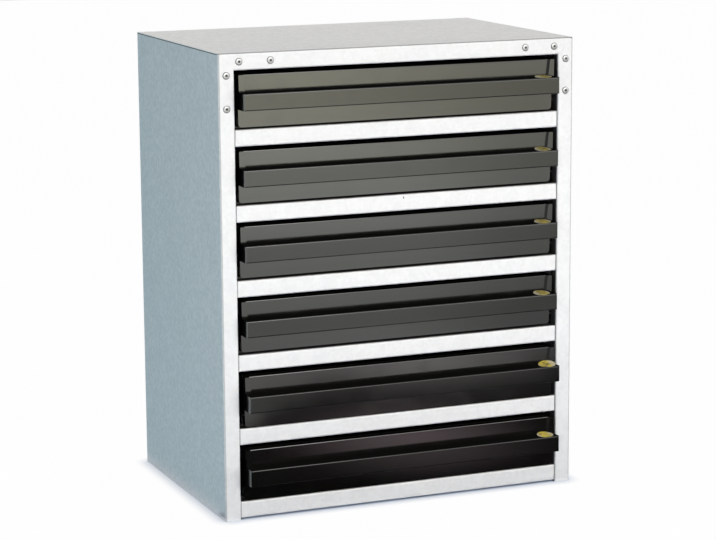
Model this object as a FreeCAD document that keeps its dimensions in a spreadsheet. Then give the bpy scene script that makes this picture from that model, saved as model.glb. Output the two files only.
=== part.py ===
import FreeCAD, Part
import math
import os
import re
import Sketcher

# Steel drawer cabinet: a folded sheet-steel carcass that holds six moulded drawers on steel runners.
# The part stands on Z = 0 and faces -Y, and its origin lies under the middle of its overall box.
# The sketches count Y from the face of the front frame; each piece is then shifted to the origin.

DRAWER_COUNT = 6
SKIRT_CELLS = 4
LEFT, RIGHT = -1, 1
SIDE_NAMES = {LEFT: "left", RIGHT: "right"}

# Driving dimensions, in millimetres
SIZES = {
    # carcass
    "cabinet_width": 357.0,
    "carcass_depth": 239.0,
    "sheet": 1.0,
    "bend_radius": 0.6,
    "stile_width": 15.4,
    "stile_return": 12.0,
    "opening_height": 54.0,
    "rail_height": 15.6,
    "rail_depth": 16.0,
    "rail_recess": 1.2,
    "base_lift": 1.8,
    "foot_width": 15.0,
    "rear_flange": 15.0,
    "panel_flange": 13.0,
    "joint_gap": 0.3,
    "mitre_gap": 0.1,
    "edge_round": 0.8,
    # holes for wall screws in the back
    "fixing_hole": 6.5,
    "fixing_inset_x": 38.5,
    "fixing_inset_z": 42.5,
    # top corner brackets and their blind rivets
    "bracket_sheet": 1.5,
    "bracket_inset": 0.9,
    "bracket_end": 12.7,
    "rivet_first": 20.0,
    "rivet_pitch": 30.3,
    "rivet_shank": 3.4,
    "rivet_play": 0.1,
    "rivet_head": 6.8,
    "rivet_crown": 3.6,
    "rivet_rise": 1.2,
    "rivet_tail": 3.0,
    # runners
    "runner_sheet": 0.9,
    "runner_play": 0.3,
    "runner_rise": 0.3,
    "runner_ledge": 10.0,
    "runner_guide": 10.0,
    "runner_flange": 14.0,
    "runner_stop": 12.0,
    "guide_play": 1.0,
    # drawers
    "side_play": 4.1,
    "rear_space": 13.0,
    "drawer_headroom": 3.7,
    "drawer_wall": 2.2,
    "drawer_floor": 2.2,
    "side_taper": 1.0,
    "front_recess": 6.15,
    "front_draft": 2.0,
    "panel_recess": 8.6,
    "panel_height": 16.7,
    "pillar_reach": 4.2,
    "pillar_width": 4.2,
    "pillar_spread": 1.6,
    "ledge_wall": 2.4,
    "lip_reach": 16.65,
    "lip_height": 15.6,
    "lip_wall": 2.6,
    "lip_round": 1.2,
    "cheek_wall": 2.4,
    "skirt_rib": 2.0,
    "floor_round": 3.0,
    "rear_round": 5.0,
    "rim_round": 1.9,
    "lug_width": 24.0,
    "lug_wall": 3.5,
    "lug_inset": 44.0,
    "lug_overlap": 3.0,
    # how far the drawers that stand a little open are out
    "top_ajar": 1.5,
    "low_ajar": 6.5,
}

# Sizes that follow from the driving ones, as formulas on their names
DERIVED = {
    "half_width": "cabinet_width / 2",
    "wall_face": "half_width - sheet",
    "opening_half": "half_width - stile_width",
    "fold_radius": "bend_radius + sheet",
    "pitch": "opening_height + rail_height",
    "first_opening": "base_lift + rail_height",
    "cabinet_height": f"first_opening + {DRAWER_COUNT} * pitch",
    "top_opening": "cabinet_height - rail_height",
    "rail_back": "rail_recess + rail_depth",
    "back_face": "carcass_depth - 2 * sheet",
    "bottom_flange": "rail_height - 2 * sheet",
    "rivet_hole": "rivet_shank + rivet_play",
    "rivet_last": "rivet_first + rivet_pitch",
    "bracket_leg": "rivet_last + bracket_end - sheet",
    "stile_middle": "half_width - stile_width / 2",
    "top_rail_middle": "cabinet_height - rail_height / 2",
    "drawer_width": "2 * (opening_half - side_play)",
    "drawer_length": "back_face - front_recess - rear_space",
    "drawer_lift": "runner_rise + runner_sheet + runner_play",
    "drawer_height": "opening_height - drawer_lift - drawer_headroom",
    "ledge_height": "drawer_height - panel_height",
    "ledge_bottom": "ledge_height - ledge_wall",
    "panel_face": "panel_recess - pillar_reach",
    "runner_bend": "bend_radius + runner_sheet",
    "guide_face": "drawer_width / 2 - side_taper + guide_play",
    "stop_face": "front_recess + drawer_length + side_taper * runner_stop / drawer_height + runner_play",
    "lug_top": "opening_height - drawer_lift + lug_overlap",
    "lip_front": "lip_reach - front_recess + max(top_ajar; low_ajar)",
    "plan_middle": "(carcass_depth - lip_front) / 2",
    # rounds are limited by their walls
    "lip_edge": "min(lip_round; 0.45 * lip_wall; 0.45 * cheek_wall)",
    "side_edge": "min(edge_round; 0.9 * sheet)",
    "rim_edge": "min(rim_round; 0.9 * drawer_wall)",
    "inner_round": "max(rear_round - drawer_wall; drawer_wall / 2)",
}

AJAR = {1: "top_ajar", 5: "low_ajar", 6: "low_ajar"}

doc = FreeCAD.newDocument("drawer_cabinet")
sheet = doc.addObject("Spreadsheet::Sheet", "Sizes")
for row, (alias, number) in enumerate(SIZES.items(), start=1):
    sheet.set(f"A{row}", str(number))
    sheet.setAlias(f"A{row}", alias)
doc.recompute()

nodes = []


def bound(formula):
    """Turn a formula on size names into an expression on the sheet's cells."""

    def cell(match):
        name = match.group(0)
        if name in DERIVED:
            return f"({bound(DERIVED[name])})"
        if name in SIZES:
            return f"Sizes.{name}"
        return name

    return re.sub(r"[a-z_][a-z_0-9]*", cell, formula)


def value(formula):
    """The number that a formula on size names gives now."""
    return float(sheet.evalExpression(bound(formula)))


def new_body(name):
    """An empty body, shifted from the frame's face to the part's origin, that becomes a node."""
    body = doc.addObject("PartDesign::Body", name)
    body.setExpression("Placement.Base.y", bound("-plan_middle"))
    nodes.append(body)
    return body


def origin_plane(body, role):
    """One of the body's own origin planes."""
    return next(item for item in body.Origin.OriginFeatures if item.Role == role)


def new_sketch(body, name, plane, offset="0"):
    """An empty sketch on one of the body's own origin planes, moved along the plane's normal."""
    sketch = body.newObject("Sketcher::SketchObject", name)
    sketch.AttachmentSupport = [(origin_plane(body, plane), "")]
    sketch.MapMode = "FlatFace"
    sketch.setExpression("AttachmentOffset.Base.z", bound(offset))
    return sketch


def constrain(sketch, kind, *arguments, formula=None):
    """Add a constraint, bound to a formula if it has a size."""
    if formula is None:
        sketch.addConstraint(Sketcher.Constraint(kind, *arguments))
        return
    index = sketch.addConstraint(Sketcher.Constraint(kind, *arguments, value(formula)))
    sketch.setExpression(f"Constraints[{index}]", bound(formula))


def draw_polygon(sketch, corners):
    """Draw a closed outline of straight lines; each corner is a pair of formulas."""
    points = [FreeCAD.Vector(value(u), value(v), 0) for u, v in corners]
    first = sketch.GeometryCount
    for start, end in zip(points, points[1:] + points[:1]):
        sketch.addGeometry(Part.LineSegment(start, end))
    for index, (u, v) in enumerate(corners):
        line = first + index
        after = first + (index + 1) % len(corners)
        constrain(sketch, "Coincident", line, 2, after, 1)
        constrain(sketch, "DistanceX", -1, 1, line, 1, formula=u)
        constrain(sketch, "DistanceY", -1, 1, line, 1, formula=v)


def draw_rectangle(sketch, low_u, high_u, low_v, high_v):
    """Draw a rectangle between four formulas."""
    draw_polygon(sketch, [(low_u, low_v), (high_u, low_v), (high_u, high_v), (low_u, high_v)])


def draw_circle(sketch, u, v, diameter):
    """Draw a circle about a point."""
    centre = FreeCAD.Vector(value(u), value(v), 0)
    circle = sketch.addGeometry(Part.Circle(centre, FreeCAD.Vector(0, 0, 1), value(diameter) / 2))
    constrain(sketch, "DistanceX", -1, 1, circle, 3, formula=u)
    constrain(sketch, "DistanceY", -1, 1, circle, 3, formula=v)
    constrain(sketch, "Radius", circle, formula=f"({diameter}) / 2")


def draw_rounded(sketch, corners):
    """Draw a closed section of upright and level lines, with an arc at each fold or rounded edge.

    Each corner is two formulas and the arc's radius there, or None where the corner is sharp.
    """
    points = [FreeCAD.Vector(value(u), value(v), 0) for u, v, _ in corners]
    count = len(corners)
    trims = [0 if radius is None else value(radius) for _, _, radius in corners]
    lines = []
    for index, point in enumerate(points):
        after = points[(index + 1) % count]
        along = (after - point).normalize()
        start = point + along * trims[index]
        end = after - along * trims[(index + 1) % count]
        lines.append(sketch.addGeometry(Part.LineSegment(start, end)))
        u, v, _ = corners[index]
        if u == corners[(index + 1) % count][0]:
            constrain(sketch, "Vertical", lines[index])
            constrain(sketch, "DistanceX", -1, 1, lines[index], 1, formula=u)
        else:
            constrain(sketch, "Horizontal", lines[index])
            constrain(sketch, "DistanceY", -1, 1, lines[index], 1, formula=v)
    for index, (_, _, radius) in enumerate(corners):
        incoming, outgoing = lines[index - 1], lines[index]
        if radius is not None:
            draw_fold(sketch, incoming, outgoing, radius)
            continue
        constrain(sketch, "Coincident", incoming, 2, outgoing, 1)


def draw_fold(sketch, incoming, outgoing, radius):
    """Join two square lines of a section by a quarter arc."""
    start = sketch.Geometry[incoming].EndPoint
    end = sketch.Geometry[outgoing].StartPoint
    into = (start - sketch.Geometry[incoming].StartPoint).normalize()
    onward = (sketch.Geometry[outgoing].EndPoint - end).normalize()
    centre = start + onward * value(radius)
    turns_left = into.cross(onward).z > 0
    low, high = (start, end) if turns_left else (end, start)
    angle = math.atan2(low.y - centre.y, low.x - centre.x)
    circle = Part.Circle(centre, FreeCAD.Vector(0, 0, 1), value(radius))
    arc = sketch.addGeometry(Part.ArcOfCircle(circle, angle, angle + math.pi / 2))
    near, far = (1, 2) if turns_left else (2, 1)
    constrain(sketch, "Tangent", incoming, 2, arc, near)
    constrain(sketch, "Tangent", arc, far, outgoing, 1)
    constrain(sketch, "Radius", arc, formula=radius)


def add_pad(body, sketch, length, reverse=False, symmetric=False):
    """Pad a sketch along its plane's normal."""
    pad = body.newObject("PartDesign::Pad", f"{sketch.Name}_pad")
    pad.Profile = sketch
    pad.setExpression("Length", bound(length))
    pad.Reversed = reverse
    if symmetric:
        pad.SideType = "Symmetric"
    return pad


def add_pocket(body, sketch, length):
    """Cut a sketch out of the body, against its plane's normal."""
    pocket = body.newObject("PartDesign::Pocket", f"{sketch.Name}_cut")
    pocket.Profile = sketch
    pocket.setExpression("Length", bound(length))


def add_wedge(body, name, kind, lower, upper):
    """A block with flat leaning sides between two level rectangles, added or cut away.

    Each level is its height and the formulas of its left, right, front and rear edges.
    """
    wedge = body.newObject(f"PartDesign::{kind}Wedge", name)
    wedge.AttachmentSupport = [(origin_plane(body, "XZ_Plane"), "")]
    wedge.MapMode = "FlatFace"
    for level, suffix in ((lower, ""), (upper, "2")):
        height, left, right, front, rear = level
        wedge.setExpression("Ymax" if suffix else "Ymin", bound(height))
        wedge.setExpression(f"X{suffix}min", bound(left))
        wedge.setExpression(f"X{suffix}max", bound(right))
        wedge.setExpression(f"Z{suffix}min", bound(f"-({rear})"))
        wedge.setExpression(f"Z{suffix}max", bound(f"-({front})"))
    return wedge


def add_fillet(body, base, name, radius, wanted):
    """Round the edges of a feature whose middle and direction pass the test."""
    doc.recompute()
    names = []
    for index, edge in enumerate(base.Shape.Edges, start=1):
        box = edge.BoundBox
        if wanted(box.Center, FreeCAD.Vector(box.XLength, box.YLength, box.ZLength)):
            names.append(f"Edge{index}")
    fillet = body.newObject("PartDesign::Fillet", name)
    fillet.Base = (base, names)
    fillet.setExpression("Radius", bound(radius))
    return fillet


def close(first, second):
    """True where two lengths agree to a hundredth of a millimetre."""
    return abs(first - second) < 0.01


def opening_bottom(number):
    """Formula of the height of a drawer opening's lower edge; drawer 1 is at the top."""
    return f"first_opening + {DRAWER_COUNT - number} * pitch"


def rivet_places(side):
    """Formulas of the rivets' places on one top front corner: two on the stile, two on the top rail."""
    steps = ["rivet_first", "rivet_last"]
    on_stile = [(f"{side} * stile_middle", f"cabinet_height - ({step})") for step in steps]
    on_rail = [(f"{side} * (half_width - ({step}))", "top_rail_middle") for step in steps]
    return on_stile, on_rail


def cut_rivet_holes(body, name, places, depth):
    """Drill rivet holes from the face of the frame."""
    holes = new_sketch(body, name, "XZ_Plane")
    for x, z in places:
        draw_circle(holes, x, z, "rivet_hole")
    add_pocket(body, holes, depth)


def mitre_line(side, shift):
    """The mitre of a top front corner as two points, moved up by half the mitre's gap."""
    lift = f"{shift} * mitre_gap / 2"
    inner = (f"{side} * (opening_half - sheet)", f"top_opening - rail_height * sheet / stile_width + {lift}")
    outer = (f"{side} * wall_face", f"cabinet_height - rail_height * sheet / stile_width + {lift}")
    return inner, outer


def build_side_panel(side):
    """A side wall with its front stile, stile return, rear flange and foot flange."""
    body = new_body(f"{SIDE_NAMES[side]}_side_panel")

    def across(distance):
        return f"{side} * ({distance})"

    section = new_sketch(body, "wall_section", "XY_Plane")
    draw_rounded(section, [
        (across("opening_half"), "stile_return", None),
        (across("opening_half"), "0", "fold_radius"),
        (across("half_width"), "0", "fold_radius"),
        (across("half_width"), "carcass_depth", "fold_radius"),
        (across("half_width - rear_flange"), "carcass_depth", None),
        (across("half_width - rear_flange"), "carcass_depth - sheet", None),
        (across("wall_face"), "carcass_depth - sheet", "bend_radius"),
        (across("wall_face"), "sheet", "bend_radius"),
        (across("opening_half + sheet"), "sheet", "bend_radius"),
        (across("opening_half + sheet"), "stile_return", None),
    ])
    add_pad(body, section, "cabinet_height")
    foot = new_sketch(body, "foot_flange", "XY_Plane")
    draw_rectangle(foot, across("half_width - foot_width"), across("wall_face"),
                   "stile_return + joint_gap", "back_face")
    add_pad(body, foot, "sheet")
    inner, outer = mitre_line(side, -1)
    mitre = new_sketch(body, "mitre", "XZ_Plane", "sheet")
    draw_polygon(mitre, [
        inner,
        outer,
        (outer[0], "cabinet_height + sheet"),
        (inner[0], "cabinet_height + sheet"),
    ])
    add_pocket(body, mitre, "stile_return + 2 * sheet")
    on_stile, _ = rivet_places(side)
    cut_rivet_holes(body, "stile_rivet_holes", on_stile, "sheet")


def build_top_panel():
    """The top sheet with the top rail and its return at the front, and flanges at sides and rear."""
    body = new_body("top_panel")
    section = new_sketch(body, "top_section", "YZ_Plane")
    draw_rounded(section, [
        ("rail_back", "top_opening", None),
        ("0", "top_opening", "fold_radius"),
        ("0", "cabinet_height", "fold_radius"),
        ("carcass_depth", "cabinet_height", "fold_radius"),
        ("carcass_depth", "cabinet_height - panel_flange", None),
        ("carcass_depth - sheet", "cabinet_height - panel_flange", None),
        ("carcass_depth - sheet", "cabinet_height - sheet", "bend_radius"),
        ("sheet", "cabinet_height - sheet", "bend_radius"),
        ("sheet", "top_opening + sheet", "bend_radius"),
        ("rail_back", "top_opening + sheet", None),
    ])
    top = add_pad(body, section, "2 * wall_face", symmetric=True)
    edge, level = value("wall_face"), value("cabinet_height")
    add_fillet(body, top, "side_edges", "side_edge",
               lambda middle, extent: close(abs(middle.x), edge) and close(middle.z, level))
    for side in (LEFT, RIGHT):
        hand = SIDE_NAMES[side]
        inner, outer = mitre_line(side, 1)
        mitre = new_sketch(body, f"{hand}_mitre", "XZ_Plane", "sheet")
        draw_polygon(mitre, [
            inner,
            outer,
            (f"{side} * (wall_face + sheet)", outer[1]),
            (f"{side} * (wall_face + sheet)", "top_opening - 2 * sheet"),
            (inner[0], "top_opening - 2 * sheet"),
        ])
        add_pocket(body, mitre, "rail_back + 2 * sheet")
        notch = new_sketch(body, f"{hand}_rear_notch", "XY_Plane", "cabinet_height + sheet")
        draw_rectangle(notch, f"{side} * (half_width - rear_flange - joint_gap)",
                       f"{side} * (wall_face + sheet)",
                       "carcass_depth - sheet - bend_radius - joint_gap", "carcass_depth + sheet")
        add_pocket(body, notch, "panel_flange + 2 * sheet")
        flange = new_sketch(body, f"{hand}_flange", "XY_Plane", "cabinet_height - sheet")
        draw_rectangle(flange, f"{side} * (wall_face - sheet)", f"{side} * wall_face",
                       "rail_back", "back_face - bend_radius - joint_gap")
        add_pad(body, flange, "panel_flange - sheet", reverse=True)
        _, on_rail = rivet_places(side)
        cut_rivet_holes(body, f"{hand}_rail_rivet_holes", on_rail, "sheet")


def build_bottom_panel():
    """A shallow tray turned down, whose front edge lies under the bottom rail's upper fold."""
    body = new_body("bottom_panel")
    level = "first_opening - sheet"
    section = new_sketch(body, "bottom_section", "YZ_Plane")
    draw_rounded(section, [
        ("rail_recess + fold_radius", level, None),
        ("back_face", level, "fold_radius"),
        ("back_face", f"{level} - bottom_flange", None),
        ("back_face - sheet", f"{level} - bottom_flange", None),
        ("back_face - sheet", f"{level} - sheet", "bend_radius"),
        ("rail_recess + fold_radius", f"{level} - sheet", None),
    ])
    add_pad(body, section, "2 * wall_face", symmetric=True)
    for side in (LEFT, RIGHT):
        hand = SIDE_NAMES[side]
        notch = new_sketch(body, f"{hand}_front_notch", "XY_Plane", "first_opening")
        draw_rectangle(notch, f"{side} * (opening_half - sheet - joint_gap)", f"{side} * (wall_face + sheet)",
                       "0", "rail_back")
        add_pocket(body, notch, "rail_height")
        flange = new_sketch(body, f"{hand}_flange", "XY_Plane", f"{level} - sheet")
        draw_rectangle(flange, f"{side} * (wall_face - sheet)", f"{side} * wall_face",
                       "rail_back", "back_face - fold_radius - joint_gap")
        add_pad(body, flange, "bottom_flange - sheet", reverse=True)


def build_back_panel():
    """A flat sheet inside the rear flanges, with four holes for wall screws."""
    body = new_body("back_panel")
    reach = "wall_face - bend_radius - joint_gap"
    plate = new_sketch(body, "back_plate", "XZ_Plane", "-back_face")
    draw_rectangle(plate, f"-({reach})", reach,
                   "sheet + joint_gap", "cabinet_height - sheet - bend_radius - joint_gap")
    add_pad(body, plate, "sheet", reverse=True)
    holes = new_sketch(body, "fixing_holes", "XZ_Plane", "-back_face")
    for side in (LEFT, RIGHT):
        for height in ("fixing_inset_z", "cabinet_height - fixing_inset_z"):
            draw_circle(holes, f"{side} * (half_width - fixing_inset_x)", height, "fixing_hole")
    add_pocket(body, holes, "sheet")


def build_rail(name, number):
    """A rail below a drawer opening: a pan with rounded folds, open to the rear, between the stiles."""
    body = new_body(name)
    upper = opening_bottom(number)
    face = new_sketch(body, "rail_face", "XZ_Plane", "-rail_recess")
    draw_rectangle(face, "-opening_half", "opening_half", f"{upper} - rail_height", upper)
    block = add_pad(body, face, "rail_depth", reverse=True)
    front = value("rail_recess")
    folds = add_fillet(body, block, "rail_folds", "fold_radius",
                       lambda middle, extent: close(middle.y, front) and close(extent.y, 0))
    doc.recompute()
    rear = value("rail_back")
    open_face = next(f"Face{index}" for index, face in enumerate(folds.Shape.Faces, start=1)
                     if close(face.CenterOfMass.y, rear))
    pan = body.newObject("PartDesign::Thickness", "rail_pan")
    pan.Base = (folds, [open_face])
    pan.setExpression("Value", bound("sheet"))
    pan.Reversed = True


def build_corner_bracket(side):
    """A flat angle plate behind the mitre of a top front corner."""
    body = new_body(f"{SIDE_NAMES[side]}_corner_bracket")

    def across(distance):
        return f"{side} * ({distance})"

    outer, inner = across("wall_face - bracket_inset"), across("opening_half + sheet + bracket_inset")
    tip = across("wall_face - bracket_leg")
    top, under = "cabinet_height - sheet - bracket_inset", "top_opening + sheet + bracket_inset"
    foot = "cabinet_height - sheet - bracket_leg"
    plate = new_sketch(body, "angle_plate", "XZ_Plane", "-sheet")
    draw_polygon(plate, [(outer, foot), (outer, top), (tip, top), (tip, under), (inner, under), (inner, foot)])
    add_pad(body, plate, "bracket_sheet", reverse=True)
    on_stile, on_rail = rivet_places(side)
    cut_rivet_holes(body, "rivet_holes", on_stile + on_rail, "sheet + bracket_sheet")


def build_rivets():
    """Blind rivets through frame and brackets, eight turned solids in one group."""
    profile = doc.addObject("Sketcher::SketchObject", "rivet_profile")
    grip = "sheet + bracket_sheet"
    draw_polygon(profile, [
        ("0", "-rivet_rise"),
        ("rivet_crown / 2", "-rivet_rise"),
        ("rivet_head / 2", "0"),
        ("rivet_shank / 2", "0"),
        ("rivet_shank / 2", f"{grip} + rivet_tail"),
        ("0", f"{grip} + rivet_tail"),
    ])
    rivets = []
    for side in (LEFT, RIGHT):
        on_stile, on_rail = rivet_places(side)
        for x, z in on_stile + on_rail:
            rivet = doc.addObject("Part::Revolution", "rivet")
            rivet.Source = profile
            rivet.Axis = FreeCAD.Vector(0, 1, 0)
            rivet.Angle = 360
            rivet.Solid = True
            rivet.setExpression("Placement.Base.x", bound(x))
            rivet.setExpression("Placement.Base.y", bound("-plan_middle"))
            rivet.setExpression("Placement.Base.z", bound(z))
            rivets.append(rivet)
    group = doc.addObject("Part::Compound", "corner_rivets")
    group.Links = rivets
    nodes.append(group)


def build_runner(side, number):
    """A folded runner on a side wall: a ledge under the drawer, a guide beside it and a rear stop."""
    body = new_body(f"{SIDE_NAMES[side]}_runner_{number}")
    body.setExpression("Placement.Base.z", bound(f"{opening_bottom(number)} + runner_rise"))

    def across(distance):
        return f"{side} * ({distance})"

    tip, guide = across("guide_face - runner_ledge"), across("guide_face")
    start = "stile_return + joint_gap"
    section = new_sketch(body, "runner_section", "XZ_Plane", f"-({start})")
    draw_rounded(section, [
        (tip, "0", None),
        (across("guide_face + runner_sheet"), "0", "runner_bend"),
        (across("guide_face + runner_sheet"), "runner_guide - runner_sheet", "bend_radius"),
        (across("wall_face"), "runner_guide - runner_sheet", "runner_bend"),
        (across("wall_face"), "runner_guide + runner_flange", None),
        (across("wall_face - runner_sheet"), "runner_guide + runner_flange", None),
        (across("wall_face - runner_sheet"), "runner_guide", "bend_radius"),
        (guide, "runner_guide", "runner_bend"),
        (guide, "runner_sheet", "bend_radius"),
        (tip, "runner_sheet", None),
    ])
    add_pad(body, section, f"stop_face + runner_sheet - ({start})", reverse=True)
    stop = new_sketch(body, "rear_stop", "XZ_Plane", "-stop_face")
    draw_rectangle(stop, tip, across("guide_face - bend_radius"), "0", "runner_stop")
    add_pad(body, stop, "runner_sheet", reverse=True)


def half_at(height, inset="0"):
    """Formula of half the drawer's width at a height, or of a face inside it."""
    return f"(drawer_width / 2 - ({inset}) - side_taper * (1 - ({height}) / drawer_height))"


def pillar_at(height):
    """Formula of the width of an end pillar at a height; it spreads towards its foot."""
    return f"pillar_width + pillar_spread * (drawer_height - ({height})) / panel_height"


def wall_at(height):
    """Formula of the depth of the leaning front wall's outer face at a height, below the panel."""
    return f"(panel_face + front_draft * (1 - ({height}) / drawer_height))"


def rear_at(height, ahead="0"):
    """Formula of the depth of the leaning rear wall at a height, or of a face ahead of it."""
    return f"(drawer_length - ({ahead}) + side_taper * ({height}) / drawer_height)"


def build_drawer(number):
    """A moulded drawer; its own frame starts at the lower front edge of its skirt."""
    body = new_body(f"drawer_{number}")
    ajar = AJAR.get(number, "0")
    body.setExpression("Placement.Base.y", bound(f"front_recess - {ajar} - plan_middle"))
    body.setExpression("Placement.Base.z", bound(f"{opening_bottom(number)} + drawer_lift"))
    build_tray(body)
    build_skirt_hollow(body)
    build_handle(body)
    build_lugs(body)


def build_tray(body):
    """The drawer's box: a tapered block, the recess above its ledge between end pillars, and its inside."""

    def outside(height):
        return (height, f"-{half_at(height)}", half_at(height), "-pillar_reach", rear_at(height))

    def ahead_of_skirt(height):
        return (height, "-drawer_width / 2", "drawer_width / 2", "-2 * pillar_reach", "0")

    def recess(height):
        reach = half_at(height, pillar_at(height))
        return (height, f"-{reach}", reach, "-2 * pillar_reach", "panel_face")

    def inside(height):
        reach = half_at(height, "drawer_wall")
        return (height, f"-{reach}", reach, f"{wall_at(height)} + drawer_wall", rear_at(height, "drawer_wall"))

    def at_rear_corner(middle, extent):
        return extent.z > value("drawer_height / 2") and middle.y > value("drawer_length / 2")

    block = add_wedge(body, "block", "Additive", outside("0"), outside("drawer_height"))
    corners = add_fillet(body, block, "rear_corners", "rear_round", at_rear_corner)
    add_fillet(body, corners, "floor_edges", "floor_round", lambda middle, extent: (
        close(middle.z, 0) and not close(middle.y, value("-pillar_reach"))))
    add_wedge(body, "skirt_setback", "Subtractive", ahead_of_skirt("-drawer_wall"), ahead_of_skirt("ledge_bottom"))
    above = "drawer_height + drawer_wall"
    add_wedge(body, "ledge_recess", "Subtractive", recess("ledge_height"), recess(above))
    hollow = add_wedge(body, "inside", "Subtractive", inside("drawer_floor"), inside(above))
    inner_side = value(half_at("drawer_height", "drawer_wall"))
    inner_rear = value(rear_at("drawer_height", "drawer_wall"))
    box = add_fillet(body, hollow, "inner_corners", "inner_round", lambda middle, extent: (
        at_rear_corner(middle, extent) and abs(middle.x) < inner_side and middle.y < inner_rear))
    rim = value("drawer_height")
    outer_side, outer_rear = value(half_at("drawer_height")), value(rear_at("drawer_height"))
    add_fillet(body, box, "rim_edges", "rim_edge", lambda middle, extent: (
        close(middle.z, rim) and middle.y > 0
        and (close(abs(middle.x) + extent.x / 2, outer_side) or close(middle.y + extent.y / 2, outer_rear))))


def build_skirt_hollow(body):
    """Hollow the space between skirt and front wall from below, leaving stiffening ribs."""
    reach = half_at("0", "drawer_wall")
    cell = f"(2 * {reach} - {SKIRT_CELLS - 1} * skirt_rib) / {SKIRT_CELLS}"

    def section(height):
        return (height, f"-{reach}", f"-{reach} + {cell}", "drawer_wall", wall_at(height))

    hollow = add_wedge(body, "skirt_cell", "Subtractive", section("-drawer_wall"), section("ledge_bottom"))
    doc.recompute()
    cells = body.newObject("PartDesign::LinearPattern", "skirt_cells")
    cells.Originals = [hollow]
    cells.Direction = (origin_plane(body, "YZ_Plane"), [""])
    cells.setExpression("Length", bound(f"{SKIRT_CELLS - 1} * ({cell} + skirt_rib)"))
    cells.Occurrences = SKIRT_CELLS
    body.Tip = cells


def build_handle(body):
    """The handle across the whole drawer: a rounded block, hollowed from below between lip and skirt."""
    foot = "ledge_height - lip_height"
    reach = half_at("ledge_height")
    section = new_sketch(body, "handle_section", "YZ_Plane")
    draw_polygon(section, [
        ("drawer_wall / 2", "ledge_height"),
        ("-lip_reach", "ledge_height"),
        ("-lip_reach", foot),
        ("drawer_wall / 2", foot),
    ])
    block = add_pad(body, section, f"2 * {reach}", symmetric=True)
    nose = value("-lip_reach")
    add_fillet(body, block, "handle_edges", "lip_edge",
               lambda middle, extent: close(middle.y, nose) and close(extent.y, 0))

    def finger_gap(height):
        inner = f"({reach} - cheek_wall)"
        return (height, f"-{inner}", inner, "lip_wall - lip_reach", "0")

    add_wedge(body, "finger_gap", "Subtractive", finger_gap(f"{foot} - lip_wall"), finger_gap("ledge_bottom"))


def build_lugs(body):
    """Two tabs on the rear wall that catch behind the rail above when the drawer is drawn out."""
    lugs = new_sketch(body, "stop_lugs", "XY_Plane", "drawer_height - lug_overlap")
    for side in (LEFT, RIGHT):
        middle = f"{side} * (drawer_width / 2 - lug_inset)"
        draw_rectangle(lugs, f"{middle} - lug_width / 2", f"{middle} + lug_width / 2",
                       rear_at("drawer_height - lug_overlap", "lug_wall"),
                       rear_at("drawer_height - lug_overlap"))
    add_pad(body, lugs, "lug_top - drawer_height + lug_overlap")


def check_objects():
    """Stop if an object of the document failed or a node has no valid solid."""
    for item in doc.Objects:
        if "Invalid" in item.State or "Error" in item.State:
            raise RuntimeError(f"{item.Label} failed: {item.State}")
    for node in nodes:
        if node.Shape.isNull() or not node.Shape.isValid() or not node.Shape.Solids:
            raise RuntimeError(f"{node.Label} has no valid solid")


for hand in (LEFT, RIGHT):
    build_side_panel(hand)
build_top_panel()
build_bottom_panel()
build_back_panel()
for opening in range(1, DRAWER_COUNT):
    build_rail(f"cross_rail_{opening}", opening)
build_rail("bottom_rail", DRAWER_COUNT)
for hand in (LEFT, RIGHT):
    build_corner_bracket(hand)
build_rivets()
for opening in range(1, DRAWER_COUNT + 1):
    for hand in (LEFT, RIGHT):
        build_runner(hand, opening)
    build_drawer(opening)

doc.recompute()
check_objects()
os.makedirs("parts", exist_ok=True)
for node in nodes:
    node.Shape.exportStep(f"parts/{node.Label}.step")
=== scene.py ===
import logging
import math
from collections.abc import Callable, Iterator
from contextlib import contextmanager
from dataclasses import dataclass
from enum import Enum

import bmesh
import bpy
from mathutils import Matrix, Vector


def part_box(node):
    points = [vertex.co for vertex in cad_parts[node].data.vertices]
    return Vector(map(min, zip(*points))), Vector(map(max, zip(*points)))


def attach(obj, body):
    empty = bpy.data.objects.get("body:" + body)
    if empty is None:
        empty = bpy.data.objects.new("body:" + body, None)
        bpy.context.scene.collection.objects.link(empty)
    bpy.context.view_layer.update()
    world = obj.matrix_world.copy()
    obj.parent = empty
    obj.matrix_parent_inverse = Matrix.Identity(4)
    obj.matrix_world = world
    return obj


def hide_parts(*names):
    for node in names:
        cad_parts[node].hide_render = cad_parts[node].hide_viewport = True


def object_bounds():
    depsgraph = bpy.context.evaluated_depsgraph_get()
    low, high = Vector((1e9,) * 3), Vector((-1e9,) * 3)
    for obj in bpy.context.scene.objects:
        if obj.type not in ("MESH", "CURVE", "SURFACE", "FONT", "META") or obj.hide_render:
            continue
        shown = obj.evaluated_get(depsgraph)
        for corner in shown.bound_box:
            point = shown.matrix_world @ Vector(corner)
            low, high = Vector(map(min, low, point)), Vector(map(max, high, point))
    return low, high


# Looks of a bench-top steel drawer cabinet: zinc-coated sheet, satin black drawers, blind rivets and
# colour tags. Lengths are in metres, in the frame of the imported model: Z up, the drawers open
# towards -Y.

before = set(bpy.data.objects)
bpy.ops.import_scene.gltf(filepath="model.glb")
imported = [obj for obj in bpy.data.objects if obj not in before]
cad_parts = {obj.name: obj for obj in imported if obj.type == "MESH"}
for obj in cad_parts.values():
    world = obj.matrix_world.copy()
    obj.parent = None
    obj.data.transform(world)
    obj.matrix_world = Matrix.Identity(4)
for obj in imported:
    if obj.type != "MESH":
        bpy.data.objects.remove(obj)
CAD_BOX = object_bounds()

LOG = logging.getLogger("drawer_cabinet")
MILLIMETRE = 0.001
QUARTER_TURN = math.pi / 2

# Sockets of a Mix node that blends colours, by number
MIX_FACTOR = 0
MIX_FIRST = 6
MIX_SECOND = 7
MIX_RESULT = 2

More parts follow.
